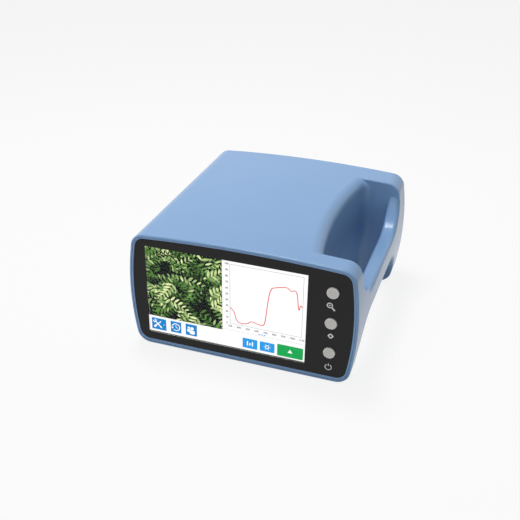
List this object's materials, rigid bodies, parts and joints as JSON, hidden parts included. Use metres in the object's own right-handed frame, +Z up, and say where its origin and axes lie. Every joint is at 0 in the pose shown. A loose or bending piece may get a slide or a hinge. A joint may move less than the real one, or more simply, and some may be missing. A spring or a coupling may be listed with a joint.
{
  "type": "field spectroradiometer",
  "caption": "Hand-held spectroradiometer: a blue moulded housing with a hand opening and grip bar, a touch display with push-buttons, and a lens port on the far side.",
  "frame": {"origin": "on the surface that the feet stand on, under the middle of the whole object", "axes": "+X to the right of someone reading the display, +Y away from them, +Z up"},
  "size_m": [0.216, 0.223, 0.12],
  "materials": {
    "housing_blue": "fine moulded texture, medium blue",
    "panel_dark": "smooth dark grey, satin",
    "clear_glass": "polished",
    "display_lit": "lit display face in a dark frame",
    "button_grey": "satin grey",
    "seal_rubber": "matt black",
    "foam": "closed-cell foam",
    "steel_sheet": "plain sheet steel",
    "screw_steel": "machined stainless steel",
    "black_plastic": "moulded black",
    "pale_plastic": "moulded off-white",
    "circuit_board": "green solder mask",
    "brass_parts": "machined",
    "black_aluminium": "black anodised",
    "bare_aluminium": "machined",
    "ribbon_film": "amber film",
    "lens_glass": "coated and polished",
    "front_mirror": "front-coated",
    "ruled_glass": "ruled and coated",
    "battery_wrap": "shrink film"
  },
  "bodies": {
    "body": {"barrel_screws": "screw_steel", "battery_contacts": "brass_parts", "battery_door": "housing_blue", "battery_door_screws": "screw_steel", "battery_gasket": "seal_rubber", "battery_pack": "battery_wrap", "battery_tub": "black_plastic", "bench_base": "bare_aluminium", "bench_cover": "black_aluminium", "bench_screws": "screw_steel", "bezel_screws": "screw_steel", "board_connectors": "pale_plastic", "board_screws": "screw_steel", "board_spacers": "brass_parts", "button_board": "circuit_board", "camera_module": "black_plastic", "camera_window": "clear_glass", "charging_jack": "black_plastic", "chassis_plate": "bare_aluminium", "chassis_screws": "screw_steel", "collimating_mirror": "front_mirror", "detector_array": "black_plastic", "detector_board": "circuit_board", "display_bracket": "steel_sheet", "display_module": "display_lit", "display_pad": "foam", "display_ribbon": "ribbon_film", "entrance_slit": "steel_sheet", "focusing_mirror": "front_mirror", "front_bezel": "housing_blue", "front_gasket": "seal_rubber", "front_panel": "panel_dark", "grating": "ruled_glass", "grating_mount": "bare_aluminium", "housing": "housing_blue", "io_board": "circuit_board", "lens_barrel": "black_aluminium", "lens_ring": "black_aluminium", "lens_seal": "seal_rubber", "main_board": "circuit_board", "mirror_mounts": "bare_aluminium", "objective_lens": "lens_glass", "processor_module": "black_aluminium", "rear_cover": "housing_blue", "rear_cover_screws": "screw_steel", "rear_gasket": "seal_rubber", "rubber_feet": "seal_rubber", "shutter_bracket": "steel_sheet", "shutter_motor": "steel_sheet", "switch_bases": "black_plastic", "touch_glass": "clear_glass", "tripod_insert": "brass_parts", "usb_port": "steel_sheet"},
    "zoom_key": {"button_zoom": "button_grey"},
    "capture_key": {"button_capture": "button_grey"},
    "power_key": {"button_power": "button_grey"},
    "shutter": {"shutter_blade": "black_aluminium", "shutter_shaft": "screw_steel"}
  },
  "joints": [
    {"name": "zoom_press", "type": "slide", "parent": "body", "child": "zoom_key", "axis": [0, 1, 0], "range_m": [0, 0.0008], "stiffness_N_per_m": 2000},
    {"name": "capture_press", "type": "slide", "parent": "body", "child": "capture_key", "axis": [0, 1, 0], "range_m": [0, 0.0008], "stiffness_N_per_m": 2000},
    {"name": "power_press", "type": "slide", "parent": "body", "child": "power_key", "axis": [0, 1, 0], "range_m": [0, 0.0008], "stiffness_N_per_m": 2000},
    {"name": "shutter_swing", "type": "hinge", "parent": "body", "child": "shutter", "pos_m": [-0.006, 0.0862, 0.0607], "axis": [0, 1, 0], "range_deg": [0, 35], "stiffness_Nm_per_rad": 0.001, "springref_deg": -20.05}
  ]
}
